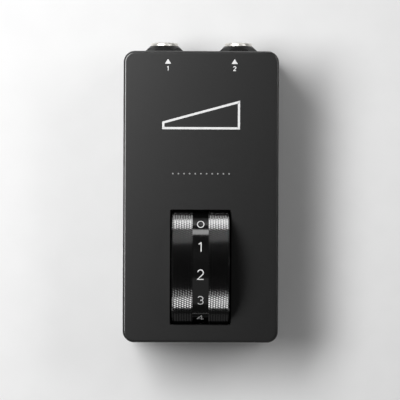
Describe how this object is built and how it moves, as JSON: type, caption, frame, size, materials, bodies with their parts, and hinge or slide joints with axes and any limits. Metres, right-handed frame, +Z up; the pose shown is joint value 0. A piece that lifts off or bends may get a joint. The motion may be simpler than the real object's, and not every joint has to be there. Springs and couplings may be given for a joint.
{
  "type": "foot-rolled volume control pedal",
  "caption": "Small black die-cast floor box with a knurled foot-rolled dial wheel in a window of its top face and jack sockets for instrument cables on its far edge.",
  "frame": {"origin": "centre of the object's bounding box on the plane of the rubber feet's undersides", "axes": "+X to the right, +Y from the wheel towards the jacks, +Z up out of the top face"},
  "size_m": [0.06, 0.1164, 0.0514],
  "materials": {
    "cover_paint": "die-cast, fine matte black powder coat",
    "black_anodised": "black anodised, knurled and turned",
    "black_metal": "satin black plating",
    "black_steel": "black oxide",
    "zinc_steel": "bright zinc plated",
    "nickel": "bright nickel plate",
    "bronze": "plain bearing bronze",
    "tinned_brass": "tinned",
    "rubber": "soft black rubber",
    "jack_plastic": "black moulded nylon",
    "phenolic": "brown laminated paper board",
    "white_nylon": "natural moulded nylon",
    "board_green": "green solder mask",
    "header_plastic": "ivory moulded nylon",
    "resistor_body": "pale blue lacquer",
    "wire_black": "soft insulation",
    "wire_white": "soft insulation",
    "wire_red": "soft insulation",
    "white_print": "screen-printed ink on the face and the wheel"
  },
  "bodies": {
    "enclosure": {"base_plate": "cover_paint", "base_screws": "black_steel", "bearing_bracket_left": "zinc_steel", "bearing_bracket_right": "zinc_steel", "board_header": "header_plastic", "board_resistors": "resistor_body", "bracket_screws": "black_steel", "circuit_board": "board_green", "enclosure_shell": "cover_paint", "foot_front_left": "rubber", "foot_front_right": "rubber", "foot_rear_left": "rubber", "foot_rear_right": "rubber", "harness_plug": "header_plastic", "jack_1_bushing": "nickel", "jack_1_contacts": "tinned_brass", "jack_1_housing": "jack_plastic", "jack_1_nut": "black_metal", "jack_1_washer": "black_metal", "jack_2_bushing": "nickel", "jack_2_contacts": "tinned_brass", "jack_2_housing": "jack_plastic", "jack_2_nut": "black_metal", "jack_2_washer": "black_metal", "pot_bushing": "black_metal", "pot_can": "zinc_steel", "pot_nut": "zinc_steel", "pot_terminals": "tinned_brass", "pot_wafer": "phenolic", "pot_washer": "zinc_steel", "shaft_bush": "bronze", "wire_high": "wire_red", "wire_low": "wire_black", "wire_wiper": "wire_white"},
    "wheel": {"roller_wheel": "black_anodised", "wheel_grub_screw": "black_steel", "pot_shaft": "black_steel", "shaft_clip": "black_steel", "pot_wiper": "white_nylon"}
  },
  "joints": [
    {"name": "wheel_spin", "type": "hinge", "parent": "enclosure", "child": "wheel", "pos_m": [0, -0.02917, 0.029], "axis": [-1, 0, 0], "range_deg": [-49.56, 230.44]}
  ]
}
